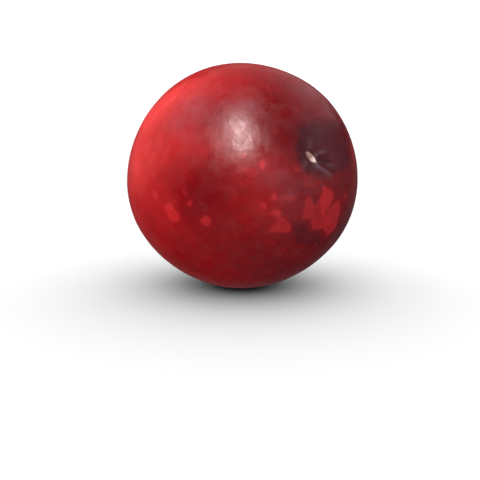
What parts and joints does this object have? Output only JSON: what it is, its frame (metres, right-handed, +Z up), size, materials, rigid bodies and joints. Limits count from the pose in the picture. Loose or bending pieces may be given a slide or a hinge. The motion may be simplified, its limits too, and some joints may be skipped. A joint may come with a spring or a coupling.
{
  "type": "cranberry",
  "caption": "Round ripe berry lying on its side, with a puckered stem hollow at one end, a lobed calyx at the other and a small flat spot to rest on.",
  "frame": {"origin": "on the surface that the berry rests on, under the middle of its bounding box", "axes": "+Z up; -Y towards the side seen in the picture, from which the stem end looks forward, to the right (+X) and a little up"},
  "size_m": [0.0183, 0.0182, 0.0175],
  "materials": {
    "skin": "waxy satin"
  },
  "bodies": {
    "root": {"cranberry": "skin"}
  },
  "joints": []
}
